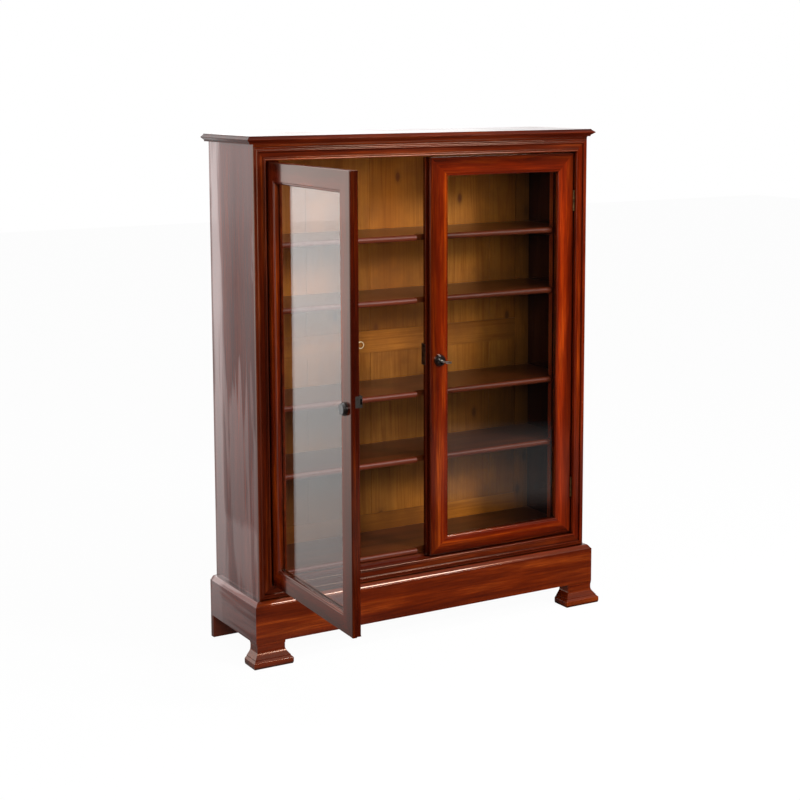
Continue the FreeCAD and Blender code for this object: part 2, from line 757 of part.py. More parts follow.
def lock_case():
    """Hollow iron case behind the stile, edge plate, and the pin that the key turns on."""
    z0 = LOCK_Z - LOCK_H / 2
    z1 = LOCK_Z + LOCK_H / 2
    x0 = RIGHT_LIP
    x1 = RIGHT_LIP + LOCK_W
    y0 = DOOR_BACK
    y1 = DOOR_BACK + LOCK_D
    w = LOCK_WALL
    body = box(x0 + SELVEDGE_T, x1, y0, y1, z0, z1)
    plate = box(x0, x0 + SELVEDGE_T, DOOR_SET + LIP_T + 2 * LIP_GAP, y1, z0, z1)
    piece = body.fuse(plate)
    piece = piece.cut(box(x0 + SELVEDGE_T + w, x1 - w, y0 + w, y1 - w, z0 + w, z1 - w))
    h = BOLT_H / 2 + BOLT_GAP
    t = BOLT_T / 2 + BOLT_GAP
    slot = SELVEDGE_T + w + 1
    piece = piece.cut(box(x0 - 1, x0 + slot, BOLT_Y - t, BOLT_Y + t, BOLT_Z - h, BOLT_Z + h))
    piece = piece.cut(keyhole(y0 - 1, y0 + w + 1))
    pin = rod(KEY_PIN_R, V(KEY_X, y1 - w - KEY_PIN_L, KEY_Z), V(0, 1, 0), KEY_PIN_L + w / 2)
    return piece.fuse(pin).removeSplitter()


def lock_bolt():
    """Flat bolt, drawn back into the case at rest. Its deeper tail has a talon, the
    notch in which the key's bit turns and pushes the bolt out."""
    x0 = RIGHT_LIP
    z0 = BOLT_Z - BOLT_H / 2
    foot = z0 - TALON_D
    z1 = BOLT_Z + BOLT_H / 2
    t = BOLT_T / 2
    a = KEY_X + BOLT_THROW / 2 - TALON_W / 2
    side = [
        (x0, z0, 0), (x0 + BOLT_HEAD, z0, 0), (x0 + BOLT_HEAD, foot, 1.0),
        (a, foot, 0.8), (a, z0, 2.0), (a + TALON_W, z0, 2.0), (a + TALON_W, foot, 0.8),
        (x0 + BOLT_L, foot, 1.0), (x0 + BOLT_L, z1, 1.0), (x0, z1, 0),
    ]
    return along_y(side, BOLT_Y - t, BOLT_Y + t)


def key():
    """Pipe key: bored barrel, bit, collar and an oval bow that lies level at rest."""
    axis = V(0, -1, 0)
    back = DOOR_BACK + LOCK_D - LOCK_WALL - BOLT_GAP
    boss_face = DOOR_SET - BOSS_OUT
    front = boss_face - KEY_OUT
    shank = rod(KEY_R, V(KEY_X, back, KEY_Z), axis, back - front)
    collar = rod(COLLAR_R, V(KEY_X, boss_face - BOLT_GAP, KEY_Z), axis, COLLAR_W)
    t = BIT_T / 2
    ward = BIT_T / 4
    middle = back - BIT_W / 2
    bit = [
        (KEY_X, back, 0), (KEY_X + BIT_R, back, 0), (KEY_X + BIT_R, middle + ward, 0),
        (KEY_X + BIT_R - WARD_D, middle + ward, 0), (KEY_X + BIT_R - WARD_D, middle - ward, 0),
        (KEY_X + BIT_R, middle - ward, 0), (KEY_X + BIT_R, back - BIT_W, 0),
        (KEY_X, back - BIT_W, 0),
    ]
    bit = along_z(bit, KEY_Z - t, KEY_Z + t)
    piece = shank.fuse([collar, bit, key_bow(front + BOW_T)])
    bore = rod(KEY_PIN_R + KEY_BORE_GAP, V(KEY_X, back + 1, KEY_Z), axis, KEY_PIN_L + 3)
    return piece.cut(bore).removeSplitter()


def key_bow(y_near):
    """Flat oval ring, lying level."""
    w = BOW_W / 2
    y0 = y_near - BOW_L
    z = KEY_Z - BOW_T / 2
    bow = []
    for t in (0, BOW_T):
        r = w - t - 0.2
        corners = [(KEY_X - w + t, y0 + t, r), (KEY_X + w - t, y0 + t, r),
                   (KEY_X + w - t, y_near - t, r), (KEY_X - w + t, y_near - t, r)]
        bow.append(along_z(corners, z - t, z + BOW_T + t))
    return bow[0].cut(bow[1])


def keep_plate_room():
    z0 = BOLT_Z - KEEP_H / 2
    return box(LEFT_SHOULDER - SELVEDGE_T, LEFT_SHOULDER + 1, DOOR_SET + LIP_T + 2 * LIP_GAP,
               DOOR_BACK + 1, z0, z0 + KEEP_H)


def lock_keep():
    """Iron keep: edge plate and a small box behind the stile that takes the bolt."""
    z0 = BOLT_Z - KEEP_H / 2
    z1 = z0 + KEEP_H
    x1 = LEFT_SHOULDER
    y1 = DOOR_BACK + KEEP_D
    piece = box(x1 - SELVEDGE_T, x1, DOOR_SET + LIP_T + 2 * LIP_GAP, y1, z0, z1)
    piece = piece.fuse(box(x1 - KEEP_W, x1, DOOR_BACK, y1, z0, z1))
    h = BOLT_H / 2 + 1
    t = BOLT_T / 2 + BOLT_GAP
    pocket = box(x1 - BOLT_THROW - 6, x1 + 1, BOLT_Y - t, BOLT_Y + t, BOLT_Z - h, BOLT_Z + h)
    return piece.cut(pocket).removeSplitter()


def boss(x):
    """Turned black boss: a short drum that tapers to its flat face."""
    points = [
        (0, 0, 0),
        (BOSS_R, 0, 0),
        (BOSS_R, 0.5 * BOSS_OUT, 0),
        (BOSS_FACE_R, BOSS_OUT, 0),
        (0, BOSS_OUT, 0),
    ]
    knob = turned(points, 0, 0)
    knob.rotate(V(), V(1, 0, 0), 90)
    knob.translate(V(x, DOOR_SET, KEY_Z))
    return knob


def key_boss():
    """The same boss with a keyhole through it."""
    return boss(KEY_X).cut(keyhole(DOOR_SET - BOSS_OUT - 1, DOOR_SET + 1))


def eye_hole():
    x = MEET_X - EYE_IN
    return rod(EYE_WIRE + PIN_GAP, V(x, DOOR_BACK - 12.5, EYE_Z), V(0, 1, 0), 14)


def screw_eye():
    """Ring on a shank behind the left door's meeting stile; its wire has four flats."""
    x = MEET_X - EYE_IN
    y = DOOR_BACK + EYE_OUT
    steps = [math.radians(a) for a in range(45, 360, 90)]
    section = [(EYE_R + EYE_WIRE * math.cos(a), EYE_WIRE * math.sin(a)) for a in steps]
    ring = turned(sharp(section), 0, 0)
    ring.rotate(V(), V(0, 1, 0), 90)
    ring.translate(V(x, y, EYE_Z))
    shank = rod(EYE_WIRE, V(x, DOOR_BACK - 12, EYE_Z), V(0, 1, 0), 12 + EYE_OUT - EYE_R)
    return shank.fuse(ring).removeSplitter()


# -------------------------------------------------------------- assembly

def case_nodes():
    frame_left, frame_right, frame_top, frame_base = frame_members()
    low, high = panel_heights()
    nodes = {
        "side_left": side_panel(),
        "side_right": mirrored(side_panel()),
        "top_board": top_board(),
        "sub_top": sub_top(),
        "jamb_left": jamb(),
        "jamb_right": mirrored(jamb()),
        "head_rail": head_rail(),
        "sill_rail": sill_rail(),
        "frame_left": frame_left,
        "frame_right": frame_right,
        "frame_top": frame_top,
        "frame_base": frame_base,
        "bed_moulding": bed_moulding(),
        "plinth_front": plinth_front(),
        "plinth_left": plinth_side(),
        "plinth_right": mirrored(plinth_side()),
        "plinth_back": plinth_back(),
        "glue_blocks": glue_blocks(),
        "foot_front_left": front_foot(),
        "foot_front_right": mirrored(front_foot()),
        "foot_back_left": back_foot(),
        "foot_back_right": mirrored(back_foot()),
        "back_stile_left": back_stile(),
        "back_stile_right": mirrored(back_stile()),
        "back_rail_top": back_rail(high[1], CASE_TOP, True, False),
        "back_rail_middle": back_rail(BACK_MID_Z0, BACK_MID_Z0 + BACK_MID_W, True, True),
        "back_rail_low": back_rail(PLINTH_OUT_Z, BACK_LOW_TOP, False, True),
        "back_boards_upper": back_boards(*high),
        "back_boards_lower": back_boards(*low),
        "floor_board": board(FLOOR_TOP, 0, 0),
        "floor_bearers": floor_bearers(),
        "shelf_battens": shelf_battens(),
    }
    for i, z in enumerate(SHELF_TOPS):
        nodes["shelf_" + str(i + 1)] = shelf(z)
    leaves = hinge_pair(lambda z: hinge_leaf(z, True))
    pins = hinge_pair(hinge_pin)
    nodes["hinge_leaves_fixed"] = group(leaves + [mirrored(leaf) for leaf in leaves])
    nodes["hinge_pins"] = group(pins + [mirrored(pin) for pin in pins])
    return nodes


def left_door_nodes():
    x0 = -OPEN_HALF + STILE_SIGHT
    x1 = -LEFT_SIGHT
    across = (-OPEN_HALF + DOOR_GAP, x0, x1, LEFT_SHOULDER)
    return {
        "left_hinge_stile": hinge_stile(),
        "left_meeting_stile": left_meeting_stile(),
        "left_top_rail": rail(across, DOOR_Z1, SIGHT_Z1, -1),
        "left_low_rail": rail(across, DOOR_Z0, SIGHT_Z0, 1),
        "left_glass": glass_pane(x0, x1),
        "left_glazing_beads": glazing_beads(x0, x1),
        "left_hinge_leaves": group(hinge_pair(lambda z: hinge_leaf(z, False))),
        "left_knob": boss(KNOB_X),
        "lock_keep": lock_keep(),
        "screw_eye": screw_eye(),
    }


def right_door_nodes():
    x0 = RIGHT_SIGHT
    x1 = OPEN_HALF - STILE_SIGHT
    across = (RIGHT_FRONT, x0, x1, OPEN_HALF - DOOR_GAP)
    return {
        "right_hinge_stile": mirrored(hinge_stile()),
        "right_meeting_stile": right_meeting_stile(),
        "right_top_rail": rail(across, DOOR_Z1, SIGHT_Z1, -1),
        "right_low_rail": rail(across, DOOR_Z0, SIGHT_Z0, 1),
        "right_glass": glass_pane(x0, x1),
        "right_glazing_beads": glazing_beads(x0, x1),
        "right_hinge_leaves": mirrored(group(hinge_pair(lambda z: hinge_leaf(z, False)))),
        "key_boss": key_boss(),
        "lock_case": lock_case(),
        "lock_bolt": lock_bolt(),
        "key": key(),
    }


def build():
    nodes = case_nodes()
    nodes.update(right_door_nodes())
    for name, shape in left_door_nodes().items():
        opened = shape.copy()
        opened.rotate(V(-PIVOT_X, PIVOT_SET, 0), V(0, 0, 1), -REST_OPEN)
        nodes[name] = opened
    bounds = Part.makeCompound(list(nodes.values())).BoundBox
    middle = (bounds.YMin + bounds.YMax) / 2
    for shape in nodes.values():
        shape.translate(V(0, -middle, 0))
    return nodes, middle


NODES, ORIGIN_Y = build()
os.makedirs("parts", exist_ok=True)
for NAME, SHAPE in NODES.items():
    SHAPE.exportStep("parts/" + NAME + ".step")
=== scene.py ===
import math

import bpy
from mathutils import Matrix, Vector


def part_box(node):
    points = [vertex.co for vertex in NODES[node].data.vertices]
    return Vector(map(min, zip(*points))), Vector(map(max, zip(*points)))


# The glazed mahogany bookcase, dressed and lit for one photograph.
# Lengths are in metres. +X is to the right, +Y to the back and +Z up.
# The CAD nodes keep their shapes, and each gets a procedural material.

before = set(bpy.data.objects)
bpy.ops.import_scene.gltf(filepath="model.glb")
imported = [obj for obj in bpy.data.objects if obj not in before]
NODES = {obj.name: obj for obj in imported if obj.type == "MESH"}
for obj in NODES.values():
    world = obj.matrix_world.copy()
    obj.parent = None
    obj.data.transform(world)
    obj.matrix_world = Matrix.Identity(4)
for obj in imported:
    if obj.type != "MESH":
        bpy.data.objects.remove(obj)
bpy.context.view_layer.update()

# ---- camera: place, direction in degrees, focal length in image widths ----
CASE_DEPTH = 0.304
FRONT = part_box("side_left")[1].y - CASE_DEPTH    # plane of the front corners of the case
CAM_FROM_FRONT = Vector((-2.52044, -4.15834, 1.67757))
CAM_YAW = -30.17
CAM_PITCH = -7.64
CAM_ROLL = -0.20
FOCAL = 2.04976
SENSOR_MM = 36.0
SHIFT_Y = -0.125
CLIP_END = 60.0

# ---- lamps: name, place, target, size, watts ----
LAMPS = (
    ("key_light", (2.3, -3.6, 2.9), (0.0, 0.0, 0.85), (1.2, 1.2), 210.0),
    ("fill_light", (-1.7, -4.4, 2.5), (0.0, 0.0, 0.8), (2.0, 1.6), 130.0),
    ("strip_light", (-4.3, -0.9, 1.9), (0.0, 0.1, 0.8), (0.8, 2.6), 26.0),
    ("top_light", (0.3, -1.0, 4.2), (0.0, 0.1, 0.8), (2.0, 1.2), 60.0),
)

# ---- room: an even light on everything, and what glossy surfaces mirror ----
SOFT_LEVEL = 0.42
MIRRORED_LEVEL = 2.0
WALL_SIDE = (-0.5, 0.86, 0.0)         # the bright walls stand towards this side
# cosine of the angle to that side, and how bright the room is there
WALLS = ((-1.0, 0.004), (-0.45, 0.006), (-0.10, 0.16), (0.28, 0.50), (0.55, 1.0), (1.0, 1.0))
# sine of the height above the horizon, and how much the ceiling adds there
CEILING = ((0.0, 0.0), (0.58, 0.0), (0.70, 0.24), (0.88, 0.30), (1.0, 0.18))
FLOOR_HALF = 14.0
FLOOR_GREY = (0.80, 0.80, 0.80)
FLOOR_WHITE = 0.965                   # how white the floor looks to the camera
# the mirrored floor's brightness, between these two distances towards WALL_SIDE
FLOOR_SPAN = (-4.0, 8.0)
FLOOR_MIRRORED = (
    (0.0, 0.004), (0.085, 0.006), (0.12, 0.11), (0.20, 0.14), (0.225, 0.01), (0.32, 0.02),
    (0.37, 0.14), (0.45, 0.34), (0.625, 0.55), (1.0, 0.85),
)

WHITE = (1.0, 1.0, 1.0)

# ---- woods: darkest, middle and lightest colour ----
FRONT_WOOD = ((0.042, 0.0028, 0.0005), (0.150, 0.0128, 0.0008), (0.345, 0.0580, 0.0030))
# a lighter copy of FRONT_WOOD: painted light on the right hinge stile
LIT_STILE_WOOD = ((0.070, 0.0050, 0.0008), (0.270, 0.0240, 0.0012), (0.520, 0.0900, 0.0050))
# a darker mahogany for the mouldings; on the left frame it is painted shade, as the right frame has
# FRONT_WOOD
RIM_WOOD = ((0.030, 0.0028, 0.0008), (0.100, 0.0100, 0.0012), (0.220, 0.0340, 0.0035))
PLINTH_WOOD = ((0.042, 0.0042, 0.0010), (0.135, 0.0165, 0.0016), (0.280, 0.0500, 0.0050))
DEEP_WOOD = ((0.045, 0.0044, 0.0018), (0.120, 0.0140, 0.0045), (0.210, 0.0330, 0.0100))
SHELF_WOOD = ((0.032, 0.0060, 0.0016), (0.085, 0.0180, 0.0040), (0.160, 0.0420, 0.0100))
SHELF_EDGE = (0.105, 0.0150, 0.0032)
PINE_WOOD = ((0.27, 0.068, 0.005), (0.47, 0.145, 0.013), (0.60, 0.225, 0.034))
PINE_KNOT = (0.13, 0.035, 0.010)
PINE_STAIN = (0.22, 0.070, 0.014)

# ---- polish: tints of the highlights, and (coat weight, specular level) ----
ROSY = (1.0, 0.42, 0.36)              # thick old polish on the panels
WARM = (1.0, 0.62, 0.42)              # shellac everywhere else
CASE_POLISH = (0.25, 0.5)
DOOR_POLISH = (0.30, 0.42)
RIM_POLISH = (0.0, 0.42)
TOP_POLISH = (0.0, 0.07)

# ---- which node is made of what; the orders fix the seeds ----
# grain axis, wood and polish
MAHOGANY = {
    "jamb_left": ("Z", DEEP_WOOD, CASE_POLISH), "jamb_right": ("Z", DEEP_WOOD, CASE_POLISH),
    # painted shade and light: the left frame has the darker RIM_WOOD, the right frame the lighter
    # FRONT_WOOD
    "frame_left": ("Z", RIM_WOOD, RIM_POLISH), "frame_right": ("Z", FRONT_WOOD, CASE_POLISH),
    "top_board": ("X", RIM_WOOD, TOP_POLISH),
    "head_rail": ("X", DEEP_WOOD, CASE_POLISH), "sill_rail": ("X", DEEP_WOOD, CASE_POLISH),
    "frame_top": ("X", RIM_WOOD, RIM_POLISH), "frame_base": ("X", RIM_WOOD, RIM_POLISH),
    "bed_moulding": ("X", RIM_WOOD, RIM_POLISH),
    "plinth_front": ("X", PLINTH_WOOD, CASE_POLISH),
    "foot_front_left": ("X", PLINTH_WOOD, CASE_POLISH),
    "foot_front_right": ("X", PLINTH_WOOD, CASE_POLISH),
    "right_glazing_beads": ("X", RIM_WOOD, RIM_POLISH),
    "left_glazing_beads": ("Y", RIM_WOOD, RIM_POLISH),
}
# grain axis, wood, then the axis across the member, and which corner of its box (0 low,
# 1 high) is at its outer edge
DOOR_FRAMES = {
    "left_hinge_stile": ("Z", FRONT_WOOD, "Y", 1), "left_meeting_stile": ("Z", FRONT_WOOD, "Y", 0),
    "left_top_rail": ("Y", FRONT_WOOD, "Z", 1), "left_low_rail": ("Y", FRONT_WOOD, "Z", 0),
    # painted light: the right hinge stile has a lighter copy of the door wood
    "right_hinge_stile": ("Z", LIT_STILE_WOOD, "X", 1),
    "right_meeting_stile": ("Z", FRONT_WOOD, "X", 0),
    "right_top_rail": ("X", FRONT_WOOD, "Z", 1), "right_low_rail": ("X", FRONT_WOOD, "Z", 0),
}
PANELS = ("side_left", "side_right", "plinth_left", "plinth_right")
# grain axis
PINE = {
    "back_boards_upper": "Z", "back_boards_lower": "Z", "back_stile_left": "Z",
    "back_stile_right": "Z", "back_rail_top": "X", "back_rail_middle": "X",
    "back_rail_low": "X", "sub_top": "X",
}
SHELVES = (
    "shelf_1", "shelf_2", "shelf_3", "shelf_4", "floor_board", "floor_bearers", "plinth_back",
    "foot_back_left", "foot_back_right", "shelf_battens", "glue_blocks",
)
GLASS = ("left_glass", "right_glass")
EBONISED = ("left_knob", "key_boss")
# colour, tarnish, roughness, nodes
METALS = {
    "aged_brass": ((0.17, 0.10, 0.04), (0.05, 0.025, 0.012), 0.38,
                   ("hinge_leaves_fixed", "hinge_pins", "left_hinge_leaves", "right_hinge_leaves")),
    "bright_brass": ((0.95, 0.82, 0.55), (0.80, 0.64, 0.36), 0.40, ("screw_eye",)),
    "iron": ((0.10, 0.085, 0.075), (0.03, 0.022, 0.018), 0.4,
             ("lock_case", "lock_keep", "lock_bolt")),
    "key_steel": ((0.42, 0.39, 0.35), (0.16, 0.13, 0.10), 0.3, ("key",)),
}

# ---- ramps over the surfaces: (position, level) ----
# painted light across a door member, from its outer edge (painted shade) to the sight edge (painted
# highlight)
DOOR_PAINTED_LIGHT = ((0.0, 0.34), (0.30, 0.52), (0.62, 0.95), (0.85, 1.0), (1.0, 0.72))
# painted sheen: how strongly a panel's polish mirrors, from the back edge forwards over BAND_DEPTH
BAND_DEPTH = 0.30
PAINTED_SHEEN_BAND = (
    (0.0, 0.05), (0.03, 0.10), (0.05, 0.70), (0.20, 0.56), (0.30, 0.10), (0.60, 0.02),
    (0.86, 0.08), (1.0, 0.05),
)
# the same over the panel's height
PANEL_HEIGHT = (0.25, 1.50)
PAINTED_SHEEN_ENDS = ((0.0, 0.36), (0.13, 0.36), (0.15, 0.08), (0.70, 0.05), (1.0, 0.24))
BAND_BY_HEIGHT = ((0.70, 1.0), (1.0, 0.50))
POLISH_STREAKS = ((0.64, 0.0), (0.69, 0.36))
# painted shade on the inside of the back, by height and from left to right
BACK_HEIGHT = (0.25, 1.45)
BACK_BY_HEIGHT = (
    (0.0, 0.84), (0.10, 0.78), (0.19, 0.46), (0.27, 0.34), (0.50, 0.68), (0.75, 0.90), (1.0, 0.92),
)
BACK_WIDTH = (-0.20, 0.55)
BACK_BY_WIDTH = ((0.0, 0.76), (0.30, 0.90), (0.42, 1.0), (0.70, 1.0), (0.86, 0.66), (1.0, 0.26))
# below the lowest shelf the painted shade makes the left half darker still
LOW_BY_WIDTH = ((0.0, 0.42), (0.30, 0.50), (0.46, 1.0))
LOW_BY_HEIGHT = ((0.17, 1.0), (0.24, 0.0))
INNER_FACE = (0.005, 0.007)           # behind a back board's face its painted shade fades out here
EDGE_FACE = (0.012, 0.005)            # and behind a shelf's front edge its colour fades in
# what a pane mirrors, from facing it to a grazing view
PANE_MIRROR = ((0.0, 0.04), (0.30, 0.045), (0.485, 0.082), (0.65, 0.17), (0.83, 0.40), (1.0, 1.0))
PAINTED_SHADE_REACH = 0.018                  # painted shade darkens corners and recesses this wide
HOLLOW_SHADE = ((0.30, 0.12), (0.85, 1.0))


# ------------------------------------------------------------- node helpers

class Graph:
    """Node tree of a material or world, with short calls for the nodes used here."""

    def __init__(self, owner, output="ShaderNodeOutputMaterial"):
        owner.use_nodes = True
        self.owner = owner
        self.tree = owner.node_tree
        self.tree.nodes.clear()
        self.output = self.add(output)

    def add(self, kind, **settings):
        node = self.tree.nodes.new(kind)
        for key, value in settings.items():
            setattr(node, key, value)
        return node

    def link(self, source, target):
        self.tree.links.new(source, target)

    def put(self, socket, value):
        """A number or colour is set on the socket, and another socket is linked."""
        if isinstance(value, bpy.types.NodeSocket):
            self.link(value, socket)
            return
        if isinstance(value, tuple) and len(value) == 3 and socket.type == "RGBA":
            value = (*value, 1.0)
        socket.default_value = value

    # ---- places and directions ----

    def coords(self, kind="Object"):
        return self.add("ShaderNodeTexCoord").outputs[kind]

    def split(self, vector):
        node = self.add("ShaderNodeSeparateXYZ")
        self.link(vector, node.inputs["Vector"])
        return node.outputs

    def place(self, scale, offset=(0, 0, 0)):
        """Object coordinates, stretched by scale."""
        mapping = self.add("ShaderNodeMapping")
        mapping.inputs["Scale"].default_value = scale
        mapping.inputs["Location"].default_value = offset
        self.link(self.coords(), mapping.inputs["Vector"])
        return mapping.outputs["Vector"]

    def toward(self, vector, direction):
        """How far a vector reaches in one direction."""
        node = self.add("ShaderNodeVectorMath", operation="DOT_PRODUCT")
        self.link(vector, node.inputs[0])
        node.inputs[1].default_value = direction
        return node.outputs["Value"]

    def ranged(self, value, start, end):
        """0 to 1 as the value goes from start to end."""
        node = self.add("ShaderNodeMapRange")
        self.link(value, node.inputs["Value"])
        node.inputs["From Min"].default_value = start
        node.inputs["From Max"].default_value = end
        return node.outputs["Result"]

    def slope(self, axis, start, end):
        """0 to 1 along one axis of the object."""
        return self.ranged(self.split(self.coords())["XYZ".index(axis)], start, end)

    # ---- patterns ----

    def noise(self, vector, detail, rough, distortion=0.0):
        node = self.add("ShaderNodeTexNoise")
        self.link(vector, node.inputs["Vector"])
        node.inputs["Scale"].default_value = 1.0
        node.inputs["Detail"].default_value = detail
        node.inputs["Roughness"].default_value = rough
        node.inputs["Distortion"].default_value = distortion
        return node.outputs["Fac"]

    def grain(self, axis, waves, offset, detail, rough, distortion=0.0):
        """Noise with so many waves in a metre along the axis, and across it."""
        along, across = waves
        scale = tuple(along if letter == axis else across for letter in "XYZ")
        return self.noise(self.place(scale, offset), detail, rough, distortion)

    def cloud(self, waves, offset, detail, rough):
        """Noise with so many waves in a metre, the same all ways."""
        return self.noise(self.place((waves, waves, waves), offset), detail, rough)

    def painted_recess_shade(self):
        """Grey factor of painted shade: dark in corners and recesses, 1 on open faces."""
        node = self.add("ShaderNodeAmbientOcclusion", samples=8)
        node.inputs["Distance"].default_value = PAINTED_SHADE_REACH
        return self.ramp(node.outputs["AO"], HOLLOW_SHADE)

    # ---- sums and colours ----

    def math(self, operation, a, b=0.0, clamp=False):
        node = self.add("ShaderNodeMath", operation=operation, use_clamp=clamp)
        self.put(node.inputs[0], a)
        self.put(node.inputs[1], b)
        return node.outputs[0]

    def ramp(self, factor, stops):
        """Colour ramp from (position, colour) pairs; a bare number is a grey."""
        node = self.add("ShaderNodeValToRGB")
        elements = node.color_ramp.elements
        while len(elements) < len(stops):
            elements.new(0.5)
        for element, (position, colour) in zip(elements, stops):
            element.position = position
            if isinstance(colour, (int, float)):
                colour = (colour, colour, colour)
            element.color = (*colour, 1.0)
        self.link(factor, node.inputs["Fac"])
        return node.outputs["Color"]

    def mix(self, factor, a, b, blend="MIX"):
        node = self.add("ShaderNodeMix", data_type="RGBA", blend_type=blend)
        self.put(node.inputs[0], factor)
        self.put(node.inputs[6], a)
        self.put(node.inputs[7], b)
        return node.outputs[2]

    def multiply(self, a, b):
        return self.mix(1.0, a, b, "MULTIPLY")

    def stain(self, base, factor, stops, colour):
        """The base colour with another one over it, as far as the ramp of factor says."""
        return self.mix(self.ramp(factor, stops), base, colour)

    # ---- shaders ----

    def bump(self, height, strength, distance):
        node = self.add("ShaderNodeBump")
        node.inputs["Strength"].default_value = strength
        node.inputs["Distance"].default_value = distance
        self.link(height, node.inputs["Height"])
        return node.outputs["Normal"]

    def shader(self, kind, **values):
        """Keys are socket names with underscores."""
        node = self.add(kind)
        for key, value in values.items():
            self.put(node.inputs[key.replace("_", " ")], value)
        return node.outputs[0]

    def blend(self, factor, first, second):
        node = self.add("ShaderNodeMixShader")
        self.link(factor, node.inputs[0])
        self.link(first, node.inputs[1])
        self.link(second, node.inputs[2])
        return node.outputs["Shader"]

    def show(self, shader):
        self.link(shader, self.output.inputs["Surface"])
        return self.owner

    def surface(self, **values):
        """Principled shader on the output."""
        return self.show(self.shader("ShaderNodeBsdfPrincipled", **values))


def new_material(name):
    return Graph(bpy.data.materials.new(name))


# -------------------------------------------------------------------- woods

def mahogany_colour(g, axis, seed, wood):
    """Red-brown figure with fine dark pores, darkened by painted shade in corners and recesses;
    gives the colour and the height of the pores.
    """
    dark, mid, light = wood
    figure = g.grain(axis, (1.7, 34.0), (seed, seed * 1.7, seed * 0.6), 5.0, 0.6, 0.5)
    ribbon = g.grain(axis, (7.0, 150.0), (seed * 1.3, 1.0, seed), 3.0, 0.6, 0.2)
    fibre = g.grain(axis, (11.0, 520.0), (seed * 2.0, 0.3, seed), 3.0, 0.6)
    cloud = g.cloud(3.4, (seed, 2.0, 1.0), 3.0, 0.5)
    base = g.ramp(figure, ((0.32, dark), (0.52, mid), (0.72, light)))
    base = g.stain(base, ribbon, ((0.40, 0.45), (0.60, 0.0)), dark)
    base = g.stain(base, fibre, ((0.40, 0.50), (0.60, 0.0)), dark)
    base = g.stain(base, cloud, ((0.36, 0.35), (0.62, 0.0)), dark)
    # painted shade in corners and recesses darkens the colour
    return g.multiply(base, g.painted_recess_shade()), fibre


def polished_mahogany(name, axis, seed, wood, polish, glow=None):
    """Mahogany under french polish. glow is (axis, outer, sight): painted shade makes a door member
    redder and darker at its outer edge, and a painted highlight makes it bright orange near its
    sight edge."""
    g = new_material(name)
    coat, specular = polish
    base, fibre = mahogany_colour(g, axis, seed, wood)
    # painted shade and painted highlight across the door member
    if glow:
        base = g.multiply(base, g.ramp(g.slope(*glow), DOOR_PAINTED_LIGHT))
    wavy = g.grain(axis, (3.0, 9.0), (seed, 0.0, 0.0), 2.0, 0.4)
    height = g.math("ADD", g.math("MULTIPLY", fibre, 0.05), wavy)
    return g.surface(
        Base_Color=base, Roughness=g.ramp(wavy, ((0.3, 0.12), (0.7, 0.20))), IOR=1.5,
        Specular_IOR_Level=specular, Specular_Tint=WARM, Coat_Weight=coat, Coat_Roughness=0.05,
        Coat_IOR=1.5, Coat_Tint=WARM, Normal=g.bump(height, 0.10, 0.002))


def case_mahogany(node, seed):
    axis, wood, polish = MAHOGANY[node]
    return polished_mahogany("mahogany_" + node, axis, seed, wood, polish)


def door_mahogany(node, seed):
    axis, wood, across, outer = DOOR_FRAMES[node]
    ends = [corner["XYZ".index(across)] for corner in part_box(node)]
    # where the painted shade and highlight run across the member
    glow = (across, ends[outer], ends[1 - outer])
    return polished_mahogany("mahogany_" + node, axis, seed, wood, DOOR_POLISH, glow)


def panel_mahogany(node, seed):
    """A wide board under a thick, uneven old polish: it mirrors in wavy streaks, and a painted
    sheen makes it mirror most along its back edge and at its ends. Its inner face is darkened by
    painted shade."""
    g = new_material("polish_" + node)
    low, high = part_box(node)
    axis = "Z" if high.z - low.z > high.y - low.y else "Y"
    inner, outer = (high.x, low.x) if low.x < 0 else (low.x, high.x)
    base, fibre = mahogany_colour(g, axis, seed, DEEP_WOOD)
    # painted shade: the board darkens towards its inner face
    base = g.multiply(base, g.ramp(g.slope("X", inner, outer), ((0.0, 0.22), (0.5, 1.0))))
    streak = g.grain(axis, (1.5, 24.0), (seed, 0.7, 0.0), 3.0, 0.5, 1.0)
    broad = g.grain(axis, (1.1, 5.0), (seed * 0.3, 0.0, 2.0), 2.0, 0.5, 0.6)
    height_on = g.slope("Z", *PANEL_HEIGHT)
    # painted sheen: the polish mirrors more along the back edge and at the ends of its height
    band = g.math("MULTIPLY", g.ramp(g.slope("Y", high.y, high.y - BAND_DEPTH), PAINTED_SHEEN_BAND),
                  g.ramp(height_on, BAND_BY_HEIGHT))
    ends = g.ramp(g.math("ADD", height_on, g.math("MULTIPLY", streak, 0.05)), PAINTED_SHEEN_ENDS)
    ragged = g.math("ADD", g.math("MULTIPLY", streak, 0.55), g.math("MULTIPLY", broad, 0.75))
    veil = g.math("ADD", g.math("ADD", band, ends), g.ramp(ragged, POLISH_STREAKS), True)
    wavy = g.grain(axis, (2.2, 11.0), (seed, 0.0, 0.0), 2.0, 0.4)
    height = g.math("ADD", g.math("MULTIPLY", fibre, 0.03), wavy)
    return g.surface(
        Base_Color=base, Roughness=0.13, IOR=1.5, Specular_Tint=ROSY,
        Specular_IOR_Level=g.ramp(veil, ((0.0, 0.02), (0.4, 0.50), (1.0, 0.95))),
        Coat_Weight=g.ramp(veil, ((0.0, 0.0), (0.4, 0.08), (1.0, 0.90))),
        Coat_Roughness=0.07, Coat_IOR=1.6, Normal=g.bump(height, 0.16, 0.003))


